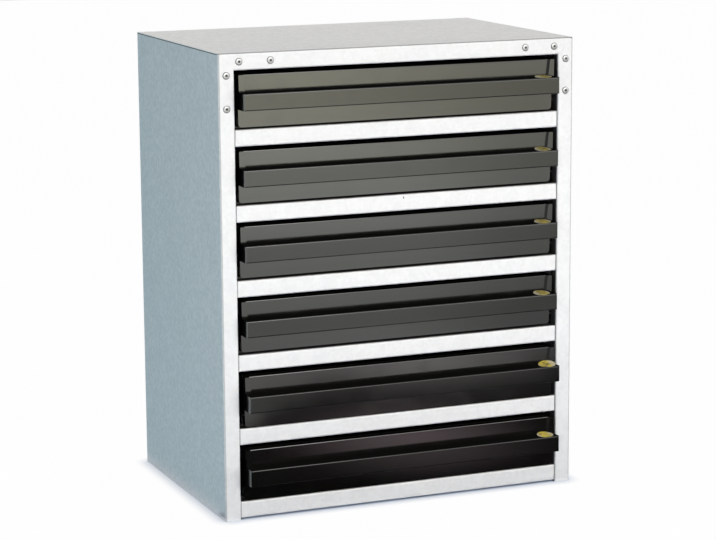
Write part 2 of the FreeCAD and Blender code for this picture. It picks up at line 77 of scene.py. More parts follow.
# Middle of the three values that a noise gives
NOISE_MIDDLE = (0.5, 0.5, 0.5)

# Share of a face's normal along an axis above which the face points that way
POINTED = 0.9

# Angle between two faces above which the edge between them stays sharp
SHARP = math.radians(40)

# Half the width of a card or a tag before it is scaled to its size
UNIT_HALF = 0.5

Colour = tuple[float, float, float]
Point = tuple[float, float, float]
Span = tuple[float, float]
Shares = tuple[float, ...]
Number = float | int


class Signal:
    """A socket of a shader, whose value Python's operators carry on through Math nodes."""

    def __init__(self, recipe: "Recipe", socket: bpy.types.NodeSocket) -> None:
        """Wrap an output socket of a recipe's node."""
        self.recipe = recipe
        self.socket = socket

    def sibling(self, output: str) -> "Signal":
        """Another output of the same node."""
        return Signal(self.recipe, self.socket.node.outputs[output])

    def math(self, operation: str, *others: "Signal | Number") -> "Signal":
        """Pass the value through a Math node.

        Args:
            operation: the Math node's operation.
            others: the node's further values.

        Returns:
            The node's result.
        """
        inputs = dict(enumerate((self, *others)))
        return self.recipe.node("ShaderNodeMath", {"operation": operation}, inputs)

    def __add__(self, other: "Signal | Number") -> "Signal":
        """Sum."""
        return self.math("ADD", other)

    __radd__ = __add__

    def __sub__(self, other: "Signal | Number") -> "Signal":
        """Difference."""
        return self.math("SUBTRACT", other)

    def __rsub__(self, other: Number) -> "Signal":
        """Difference from a number."""
        return (self * -1.0) + other

    def __mul__(self, other: "Signal | Number") -> "Signal":
        """Product."""
        return self.math("MULTIPLY", other)

    __rmul__ = __mul__

    def __truediv__(self, other: "Signal | Number") -> "Signal":
        """Quotient."""
        return self.math("DIVIDE", other)

    def size(self) -> "Signal":
        """The value without its sign."""
        return self.math("ABSOLUTE")

    def most(self, *others: "Signal") -> "Signal":
        """The largest of this value and others.

        Args:
            others: the values to compare with.

        Returns:
            The largest value.
        """
        largest = self
        for other in others:
            largest = largest.math("MAXIMUM", other)
        return largest

    def between(self, start: float, end: float) -> "Signal":
        """A value that is start where this one is 0 and end where it is 1."""
        return self * (end - start) + start

    def ramp(self, low: float, high: float) -> "Signal":
        """A smooth step from 0 at low to 1 at high.

        Args:
            low: the value where the step starts.
            high: the value where it ends.

        Returns:
            The step.
        """
        settings = {"interpolation_type": "SMOOTHSTEP"}
        inputs = {"Value": self, "From Min": low, "From Max": high}
        return self.recipe.node("ShaderNodeMapRange", settings, inputs)

    def band(self, middle: float, half: float, soft: float) -> "Signal":
        """A mask that is 1 within half of a middle value and fades over soft."""
        return 1 - (self - middle).size().ramp(half, half + soft)


def weigh(shares: Shares, *signals: Signal) -> Signal:
    """The sum of signals, each by its share."""
    first, *rest = (signal * share for signal, share in zip(signals, shares))
    return sum(rest, first)


class Recipe:
    """The node tree of a material or of the world, filled by one node-making method."""

    def __init__(self, owner: bpy.types.Material | bpy.types.World) -> None:
        """Start an empty tree."""
        owner.use_nodes = True
        self.owner = owner
        self.tree = owner.node_tree
        self.tree.nodes.clear()

    def node(self, kind: str, settings: dict | None = None, inputs: dict | None = None,
             output: str | int = 0) -> Signal:
        """Add a node.

        Args:
            kind: the node's type.
            settings: properties that are set first.
            inputs: values or signals by the socket's name or number.
            output: the output that is wanted, by name or number.

        Returns:
            The wanted output.
        """
        made = self.tree.nodes.new(kind)
        for name, value in (settings or {}).items():
            setattr(made, name, value)
        for name, value in (inputs or {}).items():
            if isinstance(value, Signal):
                self.tree.links.new(value.socket, made.inputs[name])
            elif isinstance(value, tuple) and made.inputs[name].type == "RGBA":
                made.inputs[name].default_value = (*value, 1.0)
            else:
                made.inputs[name].default_value = value
        return Signal(self, made.outputs[output] if made.outputs else None)

    def place(self) -> Signal:
        """The point on the surface in the model's frame."""
        return self.node("ShaderNodeTexCoord", output="Object")

    def squeezed(self, stretch: Point) -> Signal:
        """The point on the surface, squeezed along each axis."""
        return self.node("ShaderNodeMapping", {}, {"Vector": self.place(), "Scale": stretch})

    def axis(self, name: str) -> Signal:
        """One coordinate of the point on the surface: X, Y or Z."""
        return self.node("ShaderNodeSeparateXYZ", {}, {0: self.place()}, name)

    def facing(self, name: str) -> Signal:
        """How far the surface faces along X, Y or Z, from -1 to 1."""
        normal = self.node("ShaderNodeNewGeometry", output="Normal")
        return self.node("ShaderNodeSeparateXYZ", {}, {0: normal}, name)

    def noise(self, place: Signal, size: float, detail: float, rough: float = 0.5) -> Signal:
        """Cloudy noise between 0 and 1 whose blots are about a size across."""
        inputs = {"Vector": place, "Scale": 1.0 / size, "Detail": detail, "Roughness": rough}
        return self.node("ShaderNodeTexNoise", {}, inputs, "Fac")

    def crystals(self, place: Signal, size: float) -> Signal:
        """A random value for each cell of a mosaic whose cells are about a size across.

        Args:
            place: the point on the surface.
            size: the cells' size in metres.

        Returns:
            A value from 0 to 1.
        """
        inputs = {"Vector": place, "Scale": 1.0 / size}
        cell = self.node("ShaderNodeTexVoronoi", {"feature": "F1"}, inputs, "Color")
        return self.node("ShaderNodeSeparateColor", {}, {0: cell}, "Red")

    def vector(self, operation: str, inputs: dict) -> Signal:
        """Pass vectors through a Vector Math node."""
        return self.node("ShaderNodeVectorMath", {"operation": operation}, inputs)

    def warp(self, place: Signal, size: float, amount: float) -> Signal:
        """A point pushed about by noise, so that a pattern loses its straight edges.

        Args:
            place: the point on the surface.
            size: the noise's size in metres.
            amount: how far the noise pushes, in metres.

        Returns:
            The pushed point.
        """
        inputs = {"Vector": place, "Scale": 1.0 / size, "Detail": 2.0}
        push = self.node("ShaderNodeTexNoise", {}, inputs, "Color")
        centred = self.vector("SUBTRACT", {0: push, 1: NOISE_MIDDLE})
        scaled = self.vector("SCALE", {0: centred, "Scale": amount})
        return self.vector("ADD", {0: place, 1: scaled})

    def mix(self, factor: Signal, first: Signal | Colour, second: Signal | Colour) -> Signal:
        """Blend two colours."""
        inputs = {MIX_FACTOR: factor, MIX_FIRST: first, MIX_SECOND: second}
        return self.node("ShaderNodeMix", {"data_type": "RGBA"}, inputs, MIX_RESULT)

    def bump(self, height: Signal, depth: float, strength: float) -> Signal:
        """A normal that a height field tilts; depth is the height of 1, in metres."""
        inputs = {"Height": height, "Distance": depth, "Strength": strength}
        return self.node("ShaderNodeBump", {}, inputs)

    def solid(self, inputs: dict) -> Signal:
        """The shader of solid stuff, by the values or signals of its sockets."""
        return self.node("ShaderNodeBsdfPrincipled", {}, inputs)

    def blend(self, factor: Signal, first: Signal, second: Signal) -> Signal:
        """Blend two shaders."""
        return self.node("ShaderNodeMixShader", {}, {0: factor, 1: first, 2: second})

    def seen(self) -> Signal:
        """A mask of the rays that show a background: camera, glossy and transmission rays."""
        camera = self.node("ShaderNodeLightPath", {}, {}, "Is Camera Ray")
        return camera.most(camera.sibling("Is Glossy Ray"), camera.sibling("Is Transmission Ray"))

    def finish(self, shader: Signal, kind: str = "ShaderNodeOutputMaterial") -> None:
        """Send a shader to the tree's output."""
        self.node(kind, {}, {"Surface": shader})


class Grain(Enum):
    """Way that a sheet's rolling marks run, as the squeeze of its pattern along each axis."""

    UPRIGHT = (1.0, 1.0, 0.05)
    INWARD = (1.0, 0.05, 1.0)


@dataclass(frozen=True)
class ZincSheet:
    """Bare zinc-coated steel: fine crystals under a thin dull film, rolling marks, dark seams with
    grime and painted shade, and painted shade on folds and in the drawers' mouths.
    """

    grain: Grain

    # Colours
    light: Colour = (0.852, 0.842, 0.836)
    dark: Colour = (0.715, 0.71, 0.71)
    dull: Colour = (0.66, 0.68, 0.68)
    # Colour of the painted shade in the seam, on the top crease and side fold and in the drawers'
    # mouths, and of grime, dark joints and a nick
    shade_and_grime: Colour = (0.012, 0.012, 0.012)

    # Sizes of the pattern, and how far noise pushes the crystals' edges
    crystal: float = 3.2 * MILLIMETRE
    crystal_push: float = 2.56 * MILLIMETRE
    mottle: float = 1.3 * MILLIMETRE
    patch: float = 60 * MILLIMETRE
    streak: float = 1.2 * MILLIMETRE
    relief: float = 0.05 * MILLIMETRE
    relief_strength: float = 0.25

    # Shares of crystals, mottle, streaks and patches, in the order that the recipe names them
    tone_shares: Shares = (0.40, 0.30, 0.30)
    spread_shares: Shares = (0.45, 0.35, 0.20)
    film_shares: Shares = (0.6, 0.4)
    relief_shares: Shares = (0.6, 0.4)
    tone_span: Span = (0.15, 0.85)
    patch_span: Span = (0.52, 0.72)
    patch_share: float = 0.15

    # The front's pattern is calmer than that of the top and the sides
    frontal: Span = (0.5, 0.9)
    calm: float = 0.6
    calm_tone: float = 0.7

    # Gloss and metal
    smooth: float = 0.46
    rough: float = 0.62
    bare_metal: float = 0.42
    filmed_metal: float = 0.30

    # Lines of seams and folds: half width, soft edge, places and strengths. The seam under the top
    # holds grime and painted shade, the front's top crease and its side fold carry painted shade, and
    # the joint is a dark joint
    line_half: float = 0.25 * MILLIMETRE
    line_soft: float = 0.35 * MILLIMETRE
    front: Span = (-107.5 * MILLIMETRE, -108.5 * MILLIMETRE)
    seam_below_top: float = 0.9 * MILLIMETRE
    seam_shade_and_grime: float = 0.9
    crease_below_top: float = 0.3 * MILLIMETRE
    crease_shade: float = 0.45
    shaded_fold: float = 177.5 * MILLIMETRE
    fold_shade: float = 0.4
    joint: float = 162.8 * MILLIMETRE
    joint_dark: float = 0.5

    # Mouths of the drawers: painted shade on the sheet just behind the front
    shaded_mouth: Span = (163.3 * MILLIMETRE, 164.3 * MILLIMETRE)
    mouth_top: Span = (418.5 * MILLIMETRE, 419.5 * MILLIMETRE)
    mouth_front: Span = (-109.2 * MILLIMETRE, -107.8 * MILLIMETRE)
    mouth_rear: Span = (-98.0 * MILLIMETRE, -85.0 * MILLIMETRE)
    mouth_shade: float = 0.98

    # A nick on a rail: its place and half size across and up
    nick: Span = (3.0 * MILLIMETRE, 292.5 * MILLIMETRE)
    nick_size: Span = (0.6 * MILLIMETRE, 1.3 * MILLIMETRE)
    nick_edge: Span = (0.5, 1.4)
    nick_dark: float = 0.8

    def make(self) -> bpy.types.Material:
        """Make the material.

        Returns:
            A material whose pattern lies in the model's frame.
        """
        recipe = Recipe(bpy.data.materials.new(f"zinc_sheet_{self.grain.name.lower()}"))
        place = recipe.place()
        cells = recipe.crystals(recipe.warp(place, self.crystal, self.crystal_push), self.crystal)
        mottle = recipe.noise(place, self.mottle, detail=3.0)
        squeezed = recipe.squeezed(self.grain.value)
        streaks = recipe.noise(squeezed, self.streak, detail=3.0, rough=0.6)
        patches = recipe.noise(place, self.patch, detail=4.0).ramp(*self.patch_span)
        tone = weigh(self.tone_shares, cells, mottle, streaks).ramp(*self.tone_span)
        calm = recipe.facing("Y").size().ramp(*self.frontal) * self.calm
        shade = tone * (1 - calm) + calm * self.calm_tone
        metal = recipe.mix(shade, self.dark, self.light)
        handled = recipe.mix(patches * self.patch_share, metal, self.dull)
        film = weigh(self.film_shares, cells, mottle)
        spread = weigh(self.spread_shares, cells, streaks, patches)
        relief = weigh(self.relief_shares, mottle, streaks)
        # Painted shade and grime darken the zinc and take away its metal
        shade_and_dirt = self.shade_and_dirt(recipe)
        recipe.finish(recipe.solid({
            "Base Color": recipe.mix(shade_and_dirt, handled, self.shade_and_grime),
            "Metallic": film.between(self.bare_metal, self.filmed_metal) * (1 - shade_and_dirt),
            "Roughness": spread.between(self.smooth, self.rough),
            "Normal": recipe.bump(relief, self.relief, self.relief_strength),
        }))
        return recipe.owner

    def shade_and_dirt(self, recipe: Recipe) -> Signal:
        """A mask of what is dark: grime and painted shade in the seam, painted shade on the crease, on
        the fold and in the drawers' mouths, dark joints and a nick on a rail.

        Args:
            recipe: the recipe that the mask is for.

        Returns:
            The mask, 0 on clean sheet without painted shade.
        """
        across, depth, height = (recipe.axis(name) for name in "XYZ")
        aside = across.size()
        top = CAD_BOX[1].z
        front = depth.ramp(*self.front)
        below = 1 - height.ramp(*self.mouth_top)
        within = (1 - aside.ramp(*self.shaded_mouth)) * below
        # Painted shade on the sheet inside the drawers' mouths
        shaded_mouth = within * depth.ramp(*self.mouth_front) * (1 - depth.ramp(*self.mouth_rear))
        # Grime and painted shade in the seam under the top
        grimy_shaded_seam = self.line(height, top - self.seam_below_top) * (1 - front)
        # Painted shade on the front's top crease and on its side fold
        shaded_crease = self.line(height, top - self.crease_below_top) * front
        shaded_fold = self.line(aside, self.shaded_fold) * front
        joint = self.line(aside, self.joint) * front * below
        beside = (across - self.nick[0]) / self.nick_size[0]
        above = (height - self.nick[1]) / self.nick_size[1]
        nick = 1 - (beside * beside + above * above).ramp(*self.nick_edge)
        return (grimy_shaded_seam * self.seam_shade_and_grime).most(
            shaded_crease * self.crease_shade,
            shaded_fold * self.fold_shade + joint * self.joint_dark,
            nick * self.nick_dark,
            shaded_mouth * self.mouth_shade,
        )

    def line(self, measure: Signal, middle: float) -> Signal:
        """A mask of a thin line where a measure has a middle value."""
        return measure.band(middle, self.line_half, self.line_soft)


@dataclass(frozen=True)
class ShadedRunnerSteel:
    """Steel of the runners and brackets, darker than the sheet outside: a painted shade for the
    cabinet's dark inside.
    """

    # Dark colours: painted shade for the runners and brackets inside the cabinet
    light: Colour = (0.24, 0.24, 0.235)
    dark: Colour = (0.13, 0.13, 0.13)
    blot: float = 9 * MILLIMETRE
    drawn: float = 0.9 * MILLIMETRE
    relief: float = 0.04 * MILLIMETRE
    relief_strength: float = 0.3
    tone_shares: Shares = (0.6, 0.4)
    tone_span: Span = (0.3, 0.7)
    smooth: float = 0.35
    rough: float = 0.60
    metal: float = 0.85

    def make(self) -> bpy.types.Material:
        """Make the material.

        Returns:
            A material whose pattern lies in the model's frame.
        """
        recipe = Recipe(bpy.data.materials.new("shaded_runner_steel"))
        blots = recipe.noise(recipe.place(), self.blot, detail=5.0, rough=0.6)
        drawn = recipe.noise(recipe.squeezed(Grain.INWARD.value), self.drawn, detail=3.0)
        tone = weigh(self.tone_shares, blots, drawn)
        recipe.finish(recipe.solid({
            "Base Color": recipe.mix(tone.ramp(*self.tone_span), self.dark, self.light),
            "Metallic": self.metal,
            "Roughness": tone.between(self.smooth, self.rough),
            "Normal": recipe.bump(drawn, self.relief, self.relief_strength),
        }))
        return recipe.owner


@dataclass(frozen=True)
class SatinPolymer:
    """Black moulded polymer: satin walls with smears and hairlines, and matt black ledges and rims as
    painted shade.
    """

    # Colours
    cool: Colour = (0.002, 0.0025, 0.002)
    warm: Colour = (0.003, 0.002, 0.002)
    matt: Colour = (0.004, 0.004, 0.0035)

    # Sizes of the pattern; hairlines run level
    drift: float = 70 * MILLIMETRE
    drift_span: Span = (0.38, 0.66)
    smear: float = 28 * MILLIMETRE
    smear_span: Span = (0.45, 0.75)
    skin: float = 0.55 * MILLIMETRE
    skin_span: Span = (0.3, 0.7)
    skin_share: float = 0.5
    hairline: float = 1.1 * MILLIMETRE
    hairline_span: Span = (0.62, 0.74)
    level: Point = (0.04, 1.0, 1.0)
    relief: float = 0.02 * MILLIMETRE
    relief_strength: float = 0.2
    relief_shares: Shares = (0.8, 0.2)

    # Gloss
    spread_shares: Shares = (0.6, 0.4)
    smooth: float = 0.13
    rough: float = 0.20
    gloss: float = 1.0
    index: float = 1.75
    matt_rough: float = 0.9

    # Ledges made matt black as painted shade, and matt wear of the lips, which ends short of the
    # cheeks and grows on the low drawers as painted shade
    upward: Span = (0.80, 0.97)
    ledge_shade: float = 0.98
    lip: Span = (-117.5 * MILLIMETRE, -119.5 * MILLIMETRE)
    lip_end: Span = (157.0 * MILLIMETRE, 158.5 * MILLIMETRE)
    lip_wear: float = 0.26
    low: Span = (165.0 * MILLIMETRE, 125.0 * MILLIMETRE)
    low_shade: float = 0.24

    # Matt black rim of every drawer, a painted shade under the rail above it, measured above the foot
    # of the lowest one
    foot: float = 18.9 * MILLIMETRE
    pitch: float = 69.6 * MILLIMETRE
    rim: Span = (47.8 * MILLIMETRE, 48.1 * MILLIMETRE)

    def make(self) -> bpy.types.Material:
        """Make the material.

        Returns:
            A material whose pattern lies in the model's frame.
        """
        recipe = Recipe(bpy.data.materials.new("satin_polymer"))
        place = recipe.place()
        drifts = recipe.noise(place, self.drift, detail=3.0).ramp(*self.drift_span)
        smears = recipe.noise(place, self.smear, detail=5.0, rough=0.6).ramp(*self.smear_span)
        skin = recipe.noise(place, self.skin, detail=2.0)
        level = recipe.squeezed(self.level)
        lines = recipe.noise(level, self.hairline, detail=4.0, rough=0.7).ramp(*self.hairline_span)
        spread = weigh(self.spread_shares, smears, lines)
        relief = weigh(self.relief_shares, skin, lines)
        satin = recipe.solid({
            "Base Color": recipe.mix(drifts, self.cool, self.warm),
            "Roughness": spread.between(self.smooth, self.rough),
            "IOR": self.index,
            "Specular IOR Level": self.gloss,
            "Normal": recipe.bump(relief, self.relief, self.relief_strength),
        })
        specks = skin.ramp(*self.skin_span) * self.skin_share
        matt = recipe.solid({
            "Base Color": recipe.mix(specks, self.matt, self.cool),
            "Roughness": self.matt_rough,
            "Specular IOR Level": 0.0,
        })
        recipe.finish(recipe.blend(self.matt_wear_and_shade(recipe), satin, matt))
        return recipe.owner

    def matt_wear_and_shade(self, recipe: Recipe) -> Signal:
        """A mask of what is matt: the ledges and the rims, as painted shade, and the worn fronts of
        the lips, more matt on the low drawers as painted shade.

        Args:
            recipe: the recipe that the mask is for.

        Returns:
            The mask, 0 on satin walls.
        """
        across, depth, height = (recipe.axis(name) for name in "XYZ")
        # Upward faces, the ledges, made matt black as painted shade
        ledge = recipe.facing("Z").ramp(*self.upward) * self.ledge_shade
        inner = 1 - across.size().ramp(*self.lip_end)
        # Lips are worn matt, and more matt, so darker, on the low drawers as painted shade
        lip_wear_and_shade = height.ramp(*self.low) * self.low_shade + self.lip_wear
        lip = depth.ramp(*self.lip) * inner * lip_wear_and_shade
        # Painted shade: a matt black band at the top of every drawer
        rim = (height - self.foot).math("FLOORED_MODULO", self.pitch).ramp(*self.rim)
        return ledge.most(lip, rim)


@dataclass(frozen=True)
class RivetAlloy:
    """Bare alloy of a blind rivet's head, or the steel of the nail left in it, darkened with grime and
    painted shade where the head meets the sheet.
    """

    name: str
    light: Colour
    dark: Colour
    # Grime and painted shade in the crevice where the head meets the sheet: darker and less metallic
    crevice_shade_and_grime: Colour = (0.05, 0.05, 0.052)
    crevice_shade_span: Span = (0.6, 1.1)
    crevice_shade_dull: float = 0.7
    crevice: Span = (-112.0 * MILLIMETRE, -111.5 * MILLIMETRE)
    speck: float = 0.6 * MILLIMETRE
    speck_span: Span = (0.3, 0.7)
    smooth: float = 0.3
    rough: float = 0.5
    relief: float = 0.04 * MILLIMETRE
    relief_strength: float = 0.3

    def make(self) -> bpy.types.Material:
        """Make the material.

        Returns:
            A material whose pattern lies in the model's frame.
        """
        recipe = Recipe(bpy.data.materials.new(self.name))
        specks = recipe.noise(recipe.place(), self.speck, detail=3.0)
        bare = recipe.mix(specks.ramp(*self.speck_span), self.dark, self.light)
        crevice_shade_and_grime = recipe.axis("Y").ramp(*self.crevice) * specks.between(*self.crevice_shade_span)
        recipe.finish(recipe.solid({
            "Base Color": recipe.mix(crevice_shade_and_grime, bare, self.crevice_shade_and_grime),
            "Metallic": 1 - crevice_shade_and_grime * self.crevice_shade_dull,
            "Roughness": specks.between(self.smooth, self.rough),
            "Normal": recipe.bump(specks, self.relief, self.relief_strength),
        }))
        return recipe.owner


@dataclass(frozen=True)
class TagVinyl:
    """Plain yellow vinyl of a colour tag, soiled, with a pale rim at its two ends."""

    middle: float
    soil: float
    fresh: Colour = (0.72, 0.56, 0.07)
    soiled: Colour = (0.22, 0.17, 0.06)
    pale: Colour = (0.62, 0.57, 0.44)
    pale_share: float = 0.8
    blot: float = 4 * MILLIMETRE
    blot_span: Span = (0.42, 0.68)
    rim: Span = (4.0 * MILLIMETRE, 6.0 * MILLIMETRE)
    smooth: float = 0.4
    rough: float = 0.6
    relief: float = 0.1 * MILLIMETRE
    relief_strength: float = 0.2

    def make(self) -> bpy.types.Material:
        """Make the material.

        Returns:
            A material whose pattern lies in the model's frame.
        """
        recipe = Recipe(bpy.data.materials.new(f"tag_vinyl_{self.soil}"))
        blots = recipe.noise(recipe.place(), self.blot, detail=4.0)
        stain = blots.ramp(*self.blot_span).between(self.soil, 1.0)
        vinyl = recipe.mix(stain, self.fresh, self.soiled)
        ends = (recipe.axis("X") - self.middle).size().ramp(*self.rim)
        recipe.finish(recipe.solid({
            "Base Color": recipe.mix(ends * self.pale_share, vinyl, self.pale),
            "Roughness": blots.between(self.smooth, self.rough),
            "Normal": recipe.bump(blots, self.relief, self.relief_strength),
        }))
        return recipe.owner


@dataclass(frozen=True)
class PaleFloor:
    """Pale studio floor, near white to camera and reflections, with a painted contact shadow where
    things stand on it.
    """

    colour: Colour = (0.29, 0.41, 0.62)
    glow: float = 0.985
    contact_shadow: float = 14 * MILLIMETRE

    def make(self) -> bpy.types.Material:
        """Make the material.

        Returns:
            A matte material with a share of its own light for the rays that show a background.
        """
        recipe = Recipe(bpy.data.materials.new("pale_floor"))
        matte = recipe.node("ShaderNodeBsdfDiffuse", {}, {"Color": self.colour})
        white = recipe.node("ShaderNodeEmission", {}, {"Strength": 1.0})
        # Ambient occlusion paints a contact shadow into the floor's own light
        reach = {"Distance": self.contact_shadow}
        unshadowed_floor = recipe.node("ShaderNodeAmbientOcclusion", {}, reach, "AO")
        recipe.finish(recipe.blend(recipe.seen() * unshadowed_floor * self.glow, matte, white))
        return recipe.owner


def dress(piece: bpy.types.Object, *materials: bpy.types.Material) -> None:
    """Put materials in a piece's slots, in order; faces keep the slot that they were given.

    Args:
        piece: the piece to dress.
        materials: the materials, from the first slot on.
    """
    slots = piece.data.materials
    while len(slots) < len(materials):
        slots.append(None)
    for number, material in enumerate(materials):
        slots[number] = material


def select_nothing() -> None:
    """Leave edit mode and deselect every object."""
    if bpy.context.object and bpy.context.object.mode != "OBJECT":
        bpy.ops.object.mode_set(mode="OBJECT")
    bpy.ops.object.select_all(action="DESELECT")


def select_only(piece: bpy.types.Object) -> None:
    """Select one piece and make it active.

    Args:
        piece: the piece to select.
    """
    select_nothing()
    piece.select_set(True)
    bpy.context.view_layer.objects.active = piece


@contextmanager
def editing(piece: bpy.types.Object) -> Iterator[bpy.types.Object]:
    """Work on one piece in edit mode, and return to object mode afterwards.

    Args:
        piece: the piece to work on.

    Yields:
        The piece.
    """
    select_only(piece)
    bpy.ops.object.mode_set(mode="EDIT")
    bpy.ops.mesh.select_mode(type="FACE")
    yield piece
    bpy.ops.object.mode_set(mode="OBJECT")


def pick_faces(piece: bpy.types.Object, wanted: Callable[[Vector, Vector], bool]) -> None:
    """Select in edit mode the faces whose middle and normal pass a test.

    Args:
        piece: the piece in edit mode.
        wanted: the test of a face's middle and normal.
    """
    bpy.ops.mesh.select_all(action="DESELECT")
    mesh = bmesh.from_edit_mesh(piece.data)
    for face in mesh.faces:
        face.select_set(wanted(face.calc_center_median(), face.normal))
    bmesh.update_edit_mesh(piece.data)


def settle(piece: bpy.types.Object) -> None:
    """Apply a piece's place, turn and size to its mesh, so that its object sits at the origin."""
    select_only(piece)
    bpy.ops.object.transform_apply(location=True, rotation=True, scale=True)


def apply_modifier(piece: bpy.types.Object, kind: str, **settings: object) -> None:
    """Add a modifier to a piece and apply it.

    Args:
        piece: the piece to change.
        kind: the modifier's type.
        settings: the modifier's properties.
    """
    select_only(piece)
    modifier = piece.modifiers.new(kind.lower(), kind)
    for name, value in settings.items():
        setattr(modifier, name, value)
    bpy.ops.object.modifier_apply(modifier=modifier.name)


def copy_of(piece: bpy.types.Object, name: str) -> bpy.types.Object:
    """Copy a piece with a mesh of its own.

    Args:
        piece: the piece to copy.
        name: the copy's name.

    Returns:
        The copy.
    """
    twin = piece.copy()
    twin.data = piece.data.copy()
    twin.name = name
    bpy.context.scene.collection.objects.link(twin)
    return twin


def upright_disc(name: str, sides: int, radius: float) -> bpy.types.Object:
    """Add a filled disc round the Y axis, to shape further.

    Args:
        name: the disc's name.
        sides: how many sides its rim has.
        radius: its radius.

    Returns:
        The disc.
    """
    select_nothing()
    bpy.ops.mesh.primitive_circle_add(
        vertices=sides, radius=radius, fill_type="NGON", rotation=(QUARTER_TURN, 0.0, 0.0))
    disc = bpy.context.object
    disc.name = name
    settle(disc)
    return disc


@dataclass
class Carcass:
    """The folded steel body: panels, rails, brackets and runners."""

    inward: tuple[str, ...] = ("top_panel", "bottom_panel")

    def dress(self) -> None:
        """Put zinc sheet on what shows, by its rolling marks, and darkened steel, a painted shade, on
        what is inside.
        """
        sheets = {grain: ZincSheet(grain).make() for grain in Grain}
        # Darkened steel for what is inside, a painted shade
        inside = ShadedRunnerSteel().make()
        for name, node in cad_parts.items():
            if name.startswith("drawer_") or name == "corner_rivets":
                continue
            if "runner" in name or "bracket" in name:
                dress(node, inside)
            else:
                dress(node, sheets[Grain.INWARD if name in self.inward else Grain.UPRIGHT])
            LOG.info("dressed %s", name)


@dataclass
class Rivets:
    """The blind rivets of the top front corners: head with bore and nail, shank and set tail."""

    sides: int = 28

    # Head, from its rim to its crown, as shares of the dome's rise and of the head's radius
    head: float = 3.4 * MILLIMETRE
    rim: float = 0.3 * MILLIMETRE
    rise: float = 1.2 * MILLIMETRE
    dome: tuple[Span, ...] = ((0.0, 1.0), (0.45, 0.93), (0.80, 0.76), (1.0, 0.52))
    flush: float = 0.03 * MILLIMETRE

    # Bore in the head and the nail in the bore
    bore: float = 1.15 * MILLIMETRE
    bore_depth: float = 0.65 * MILLIMETRE
    bore_dip: float = 0.06
    bore_flare: float = 1.08
    nail: float = 0.8 * MILLIMETRE
    nail_rise: float = 0.4 * MILLIMETRE
    nail_taper: float = 0.9
    nail_reach: float = 1.02

    # Shank, and the tail as shares of its length and radii
    shank: float = 1.7 * MILLIMETRE
    grip: float = 2.5 * MILLIMETRE
    tail: float = 3.0 * MILLIMETRE
    tail_steps: tuple[Span, ...] = (
        (0.15, 2.4 * MILLIMETRE),
        (0.55, 2.4 * MILLIMETRE),
        (0.90, 1.36 * MILLIMETRE),
        (1.0, 1.02 * MILLIMETRE),
    )

    # Places on the frame
    stile_width: float = 15.4 * MILLIMETRE
    rail_height: float = 15.6 * MILLIMETRE
    first: float = 20.0 * MILLIMETRE
    pitch: float = 30.3 * MILLIMETRE

    alloy: RivetAlloy = RivetAlloy("rivet_alloy", (0.78, 0.79, 0.80), (0.55, 0.56, 0.57))
    # Dark steel of the nail, also given to the bore's walls as painted shade in the hole
    steel: RivetAlloy = RivetAlloy("nail_steel_and_bore_shade", (0.20, 0.19, 0.18), (0.07, 0.065, 0.06))

    def build(self) -> None:
        """Model one rivet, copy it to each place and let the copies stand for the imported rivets."""
        pattern = self.model()
        for number, place in enumerate(self.places(), start=1):
            rivet = copy_of(pattern, f"corner_rivet_{number}")
            rivet.location = place
            settle(rivet)
            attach(rivet, "cabinet")
            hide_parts("corner_rivets")
            LOG.info("set %s", rivet.name)
        bpy.data.objects.remove(pattern)

    def places(self) -> list[Vector]:
        """Middles of the rivets' seats, two on each stile and four along the top rail.

        Returns:
            The places, left ones first.
        """
        high = CAD_BOX[1]
        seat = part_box("corner_rivets")[0].y + self.rise
        stile = high.x - self.stile_width / 2
        rail = high.z - self.rail_height / 2
        insets = (self.first, self.first + self.pitch)
        found = []
        for side in (-1, 1):
            found += [Vector((side * stile, seat, high.z - inset)) for inset in insets]
            found += [Vector((side * (high.x - inset), seat, rail)) for inset in insets]
        return found

    def model(self) -> bpy.types.Object:
        """Model a rivet whose seat is at the origin and whose head points along -Y.

        Returns:
            The pattern that the rivets are copied from.
        """
        crown = self.rise - self.rim
        floor = self.bore_depth - self.rise
        head = [(-self.rim - share * crown, width * self.head) for share, width in self.dome]
        bore = [
            (self.bore_dip * crown - self.rise, self.bore_flare * self.bore),
            (floor, self.bore),
            (floor, self.nail),
            (floor - self.nail_rise, self.nail_taper * self.nail),
        ]
        shank = [(0.0, self.shank), (self.grip, self.shank)]
        tail = [(self.grip + share * self.tail, width) for share, width in self.tail_steps]
        reach = self.nail_reach * self.bore
        rivet = upright_disc("rivet_pattern", self.sides, self.head)
        with editing(rivet):
            bpy.ops.mesh.select_all(action="SELECT")
            self.grow(head + bore)
            pick_faces(rivet, lambda middle, normal: normal.y > POINTED and abs(middle.y) < self.flush)
            self.grow(shank + tail)
            bpy.ops.mesh.select_all(action="SELECT")
            bpy.ops.mesh.normals_make_consistent(inside=False)
        # The nail and the bore's walls take the dark steel; on the walls it is a painted shade
        dress(rivet, self.alloy.make(), self.steel.make())
        with editing(rivet):
            pick_faces(rivet, lambda middle, _: middle.y < 0 and middle.xz.length < reach)
            rivet.active_material_index = 1
            bpy.ops.object.material_slot_assign()
        bpy.ops.object.shade_smooth_by_angle(angle=SHARP)
        return rivet

    def grow(self, profile: list[Span]) -> None:
        """Extrude the selected end face, which is as wide as the head, through a profile.

        Args:
            profile: the place along Y and the radius after each extrusion.
        """
        here, radius = 0.0, self.head
        for place, width in profile:
            step = {"value": (0.0, place - here, 0.0)}
            bpy.ops.mesh.extrude_region_move(TRANSFORM_OT_translate=step)
            share = width / radius
            bpy.ops.transform.resize(value=(share, 1.0, share), center_override=(0.0, place, 0.0))
            here, radius = place, width


@dataclass(frozen=True)
class TagLay:
    """How a tag lies: soil from 0 to 1, shift to the right, mean slope and turn in degrees."""

    soil: float
    shift: float
    lift: float
    turn: float


